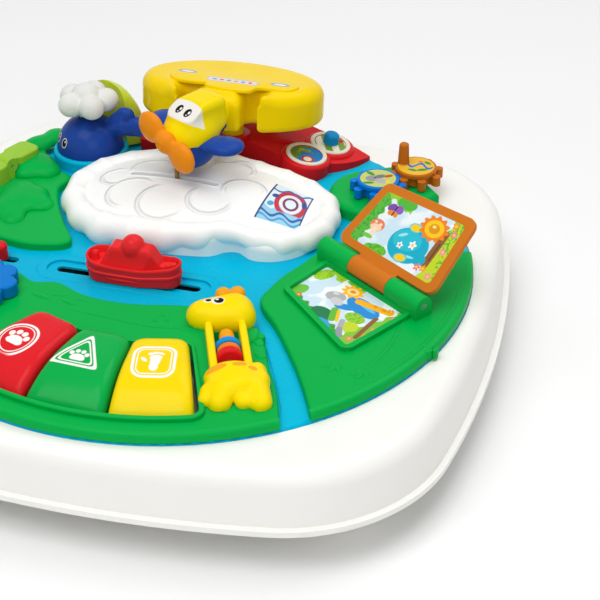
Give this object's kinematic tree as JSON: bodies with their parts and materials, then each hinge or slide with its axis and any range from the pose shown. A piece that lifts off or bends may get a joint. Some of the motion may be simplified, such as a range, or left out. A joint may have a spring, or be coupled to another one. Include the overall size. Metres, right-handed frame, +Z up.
{
  "type": "musical activity table",
  "caption": "Round-cornered musical play table top with piano keys, sliding plane and boat, picture book, steering wheel, spinning gears and animal figures.",
  "frame": {"origin": "centre of the bounding box on the plane the leg sockets stand on", "axes": "+X to the child's right along the piano keys, +Y away from the keys towards the steering wheel, +Z up"},
  "size_m": [0.45, 0.45, 0.15],
  "materials": {
    "white_plastic": "satin moulded",
    "cover_plastic": "fine texture",
    "socket_plastic": "satin",
    "door_plastic": "fine texture",
    "screw_steel": "zinc plated",
    "battery_jacket": "printed sleeve",
    "contact_steel": "nickel plated",
    "speaker_black": "paper cone in a steel basket",
    "board_green": "solder mask",
    "switch_black": "satin",
    "sea_blue": "gloss",
    "land_green": "gloss",
    "printed_card": "printed label",
    "dash_red": "gloss",
    "gauge_print": "printed label",
    "knob_blue": "gloss",
    "wheel_yellow": "gloss",
    "lime_plastic": "gloss",
    "cloud_white": "translucent",
    "guide_white": "satin",
    "lamp_amber": "clear lens",
    "plane_blue": "gloss",
    "plane_yellow": "gloss",
    "carriage_grey": "satin",
    "propeller_orange": "gloss",
    "pin_steel": "ground",
    "whale_blue": "gloss",
    "spout_white": "gloss",
    "crocodile_lime": "gloss",
    "giraffe_yellow": "gloss",
    "horn_orange": "gloss",
    "roller_blue_slot": "gloss",
    "roller_orange_slot": "gloss",
    "roller_red_slot": "gloss",
    "boat_red": "gloss",
    "retainer_white": "satin",
    "fish_red": "gloss",
    "flower_blue": "gloss",
    "post_yellow": "gloss",
    "tray_white": "satin",
    "key_red_slot": "gloss",
    "key_green_slot": "gloss",
    "key_yellow_slot": "gloss",
    "dome_rubber": "silicone",
    "gear_blue": "gloss",
    "gear_brown": "gloss",
    "page_brown": "gloss"
  },
  "bodies": {
    "table": {"table_body": "white_plastic", "bottom_cover": "cover_plastic", "cover_tub": "cover_plastic", "leg_sockets": "socket_plastic", "cover_screws": "screw_steel", "battery_door": "door_plastic", "battery_door_screw": "screw_steel", "batteries": "battery_jacket", "battery_contacts": "contact_steel", "speaker": "speaker_black", "circuit_board": "board_green", "sea_deck": "sea_blue", "front_land": "land_green", "left_land": "land_green", "right_land": "land_green", "picture_card": "printed_card", "gear_mound": "land_green", "gear_posts": "tray_white", "dash_base": "dash_red", "dash_gauge": "gauge_print", "cloud_cover": "cloud_white", "plane_guide": "guide_white", "cloud_lamp": "lamp_amber", "whale_body": "whale_blue", "spout_pin": "pin_steel", "crocodile_body": "crocodile_lime", "jaw_pin": "pin_steel", "giraffe_body": "giraffe_yellow", "giraffe_horns": "horn_orange", "bead_spindle": "pin_steel", "flower_post": "post_yellow", "key_tray": "tray_white", "key_pivots": "pin_steel", "key_domes": "dome_rubber", "book_pin": "pin_steel"},
    "power_switch_body": {"power_switch": "switch_black"},
    "blue_gear_body": {"blue_gear": "gear_blue"},
    "brown_gear_body": {"brown_gear": "gear_brown"},
    "dial_body": {"dash_dial": "knob_blue"},
    "wheel_body": {"steering_wheel": "wheel_yellow"},
    "button_body": {"lime_button": "lime_plastic"},
    "plane_body": {"plane_carriage": "carriage_grey", "plane_hull": "plane_blue", "plane_cabin": "plane_yellow", "propeller_pin": "pin_steel"},
    "propeller_body": {"plane_propeller": "propeller_orange"},
    "spout_body": {"whale_spout": "spout_white"},
    "jaw_body": {"crocodile_jaw": "crocodile_lime"},
    "roller_blue_body": {"roller_blue": "roller_blue_slot"},
    "roller_orange_body": {"roller_orange": "roller_orange_slot"},
    "roller_red_body": {"roller_red": "roller_red_slot"},
    "boat_body": {"tug_boat": "boat_red", "boat_retainer": "retainer_white"},
    "fish_body": {"slide_fish": "fish_red"},
    "flower_body": {"flower_gear": "flower_blue"},
    "key_red_body": {"key_red": "key_red_slot"},
    "key_green_body": {"key_green": "key_green_slot"},
    "key_yellow_body": {"key_yellow": "key_yellow_slot"},
    "page_body": {"book_page": "page_brown", "page_cards": "printed_card"}
  },
  "joints": [
    {"name": "key_red_press", "type": "hinge", "parent": "table", "child": "key_red_body", "pos_m": [-0.03978, -0.10363, 0.06], "axis": [0.9336, -0.3584, 0], "range_deg": [0, 4], "stiffness_Nm_per_rad": 0.8, "springref_deg": -3.44},
    {"name": "key_green_press", "type": "hinge", "parent": "table", "child": "key_green_body", "pos_m": [-0.00726, -0.11076, 0.06], "axis": [0.9979, -0.0654, 0], "range_deg": [0, 4], "stiffness_Nm_per_rad": 0.8, "springref_deg": -3.44},
    {"name": "key_yellow_press", "type": "hinge", "parent": "table", "child": "key_yellow_body", "pos_m": [0.02591, -0.10793, 0.06], "axis": [0.9724, 0.2334, 0], "range_deg": [0, 4], "stiffness_Nm_per_rad": 0.8, "springref_deg": -3.44},
    {"name": "boat_slide", "type": "slide", "parent": "table", "child": "boat_body", "axis": [1, 0, 0], "range_m": [-0.052, 0.042]},
    {"name": "fish_slide", "type": "slide", "parent": "table", "child": "fish_body", "axis": [1, 0, 0], "range_m": [-0.04, 0.008]},
    {"name": "plane_slide", "type": "slide", "parent": "table", "child": "plane_body", "axis": [0.9942, -0.108, 0], "range_m": [-0.035, 0.03]},
    {"name": "propeller_spin", "type": "hinge", "parent": "plane_body", "child": "propeller_body", "pos_m": [-0.02824, 0.05806, 0.126], "axis": [-0.4695, -0.8829, 0], "continuous": true},
    {"name": "spout_spin", "type": "hinge", "parent": "table", "child": "spout_body", "pos_m": [-0.116, 0.125, 0.107], "axis": [0, 0, 1], "continuous": true},
    {"name": "wheel_turn", "type": "hinge", "parent": "table", "child": "wheel_body", "pos_m": [-0.01, 0.16, 0.134], "axis": [0, 0.1288, 0.9917], "range_deg": [-10, 10]},
    {"name": "dial_turn", "type": "hinge", "parent": "table", "child": "dial_body", "pos_m": [0.063, 0.1735, 0.0777], "axis": [0.1908, 0, 0.9816], "range_deg": [-90, 90]},
    {"name": "button_press", "type": "slide", "parent": "table", "child": "button_body", "axis": [0, 0, -1], "range_m": [0, 0.003], "stiffness_N_per_m": 400, "springref_m": -0.004},
    {"name": "brown_gear_spin", "type": "hinge", "parent": "table", "child": "brown_gear_body", "pos_m": [0.13815, 0.13771, 0.079], "axis": [0, 0, 1], "continuous": true},
    {"name": "blue_gear_spin", "type": "hinge", "parent": "table", "child": "blue_gear_body", "pos_m": [0.115, 0.112, 0.079], "axis": [0, 0, 1], "continuous": true},
    {"name": "page_turn", "type": "hinge", "parent": "table", "child": "page_body", "pos_m": [0.098, 0.022, 0.082], "axis": [-0.8151, 0.5793, 0], "range_deg": [-137, 38]},
    {"name": "roller_blue_spin", "type": "hinge", "parent": "table", "child": "roller_blue_body", "pos_m": [0.06881, -0.10654, 0.078], "axis": [-0.3795, 0.9252, 0], "continuous": true},
    {"name": "roller_orange_spin", "type": "hinge", "parent": "table", "child": "roller_orange_body", "pos_m": [0.0709, -0.11163, 0.078], "axis": [-0.3795, 0.9252, 0], "continuous": true},
    {"name": "roller_red_spin", "type": "hinge", "parent": "table", "child": "roller_red_body", "pos_m": [0.07317, -0.11718, 0.078], "axis": [-0.3795, 0.9252, 0], "continuous": true},
    {"name": "jaw_open", "type": "hinge", "parent": "table", "child": "jaw_body", "pos_m": [-0.166, 0.072, 0.084], "axis": [0.9304, -0.3665, 0], "range_deg": [0, 35]},
    {"name": "flower_spin", "type": "hinge", "parent": "table", "child": "flower_body", "pos_m": [-0.112, -0.08, 0.075], "axis": [0, 0, 1], "continuous": true},
    {"name": "power_switch_slide", "type": "slide", "parent": "table", "child": "power_switch_body", "axis": [0, 1, 0], "range_m": [-0.0035, 0.0035]}
  ],
  "couplings": [
    {"joint": "blue_gear_spin", "follows": "brown_gear_spin", "ratio": -1}
  ]
}
